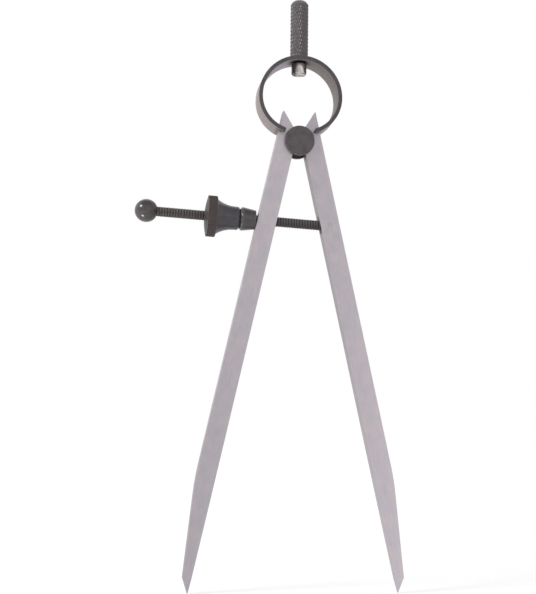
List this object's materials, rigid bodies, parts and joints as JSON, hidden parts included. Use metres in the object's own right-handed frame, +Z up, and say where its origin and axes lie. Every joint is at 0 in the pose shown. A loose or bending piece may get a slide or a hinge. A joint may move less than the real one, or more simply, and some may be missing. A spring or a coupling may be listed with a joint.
{
  "type": "spring bow compass",
  "caption": "Steel spring divider: pointed legs swing on a grooved stud under a C-shaped bow with a knurled grip; a flared knurled nut on a ball-ended screw sets the opening.",
  "frame": {"origin": "the middle of the finger grip, on the tool's axis", "axes": "+Z up along the grip, away from the points; +X from the nut's leg to the pivot pin's leg; Y through the thickness, the fulcrum axis"},
  "size_m": [0.0888, 0.0134, 0.1945],
  "materials": {
    "satin_steel": "satin ground steel",
    "blackened_steel": "black oxide steel",
    "spring_steel": "oil-blackened spring steel strip",
    "bright_steel": "bright turned steel",
    "thread_steel": "black oxide threaded rod"
  },
  "bodies": {
    "frame": {"fulcrum_stud": "blackened_steel", "bow_spring": "spring_steel", "handle": "blackened_steel", "handle_screw": "bright_steel"},
    "right_leg": {"right_leg": "satin_steel", "pivot_pin": "satin_steel"},
    "left_leg": {"left_leg": "satin_steel"},
    "screw": {"adjusting_screw": "thread_steel", "ball_end": "blackened_steel"},
    "washer": {"swivel_washer": "blackened_steel"},
    "nut": {"adjusting_nut": "blackened_steel"}
  },
  "joints": [
    {"name": "right_leg_swing", "type": "hinge", "parent": "frame", "child": "right_leg", "pos_m": [0, 0, -0.03761], "axis": [0, -1, 0], "range_deg": [-13, 14.9], "deforming": ["bow_spring"]},
    {"name": "left_leg_swing", "type": "hinge", "parent": "frame", "child": "left_leg", "pos_m": [0, 0, -0.03761], "axis": [0, 1, 0], "range_deg": [-13.05, 14.95], "deforming": ["bow_spring"]},
    {"name": "screw_swing", "type": "hinge", "parent": "right_leg", "child": "screw", "pos_m": [0.01053, 0, -0.06524], "axis": [0, -1, 0], "range_deg": [-14.95, 13.05]},
    {"name": "washer_travel", "type": "slide", "parent": "screw", "child": "washer", "axis": [-0.9986, 0, 0.0534], "range_m": [-0.01305, 0.01495]},
    {"name": "nut_spin", "type": "hinge", "parent": "washer", "child": "nut", "pos_m": [0.01053, 0, -0.06524], "axis": [-0.9986, 0, 0.0534], "continuous": true}
  ],
  "couplings": [
    {"joint": "left_leg_swing", "follows": "right_leg_swing", "ratio": 1},
    {"joint": "screw_swing", "follows": "right_leg_swing", "ratio": -1},
    {"joint": "washer_travel", "follows": "right_leg_swing", "m_per_rad": 0.05735},
    {"joint": "nut_spin", "follows": "right_leg_swing", "ratio": 400.38}
  ]
}
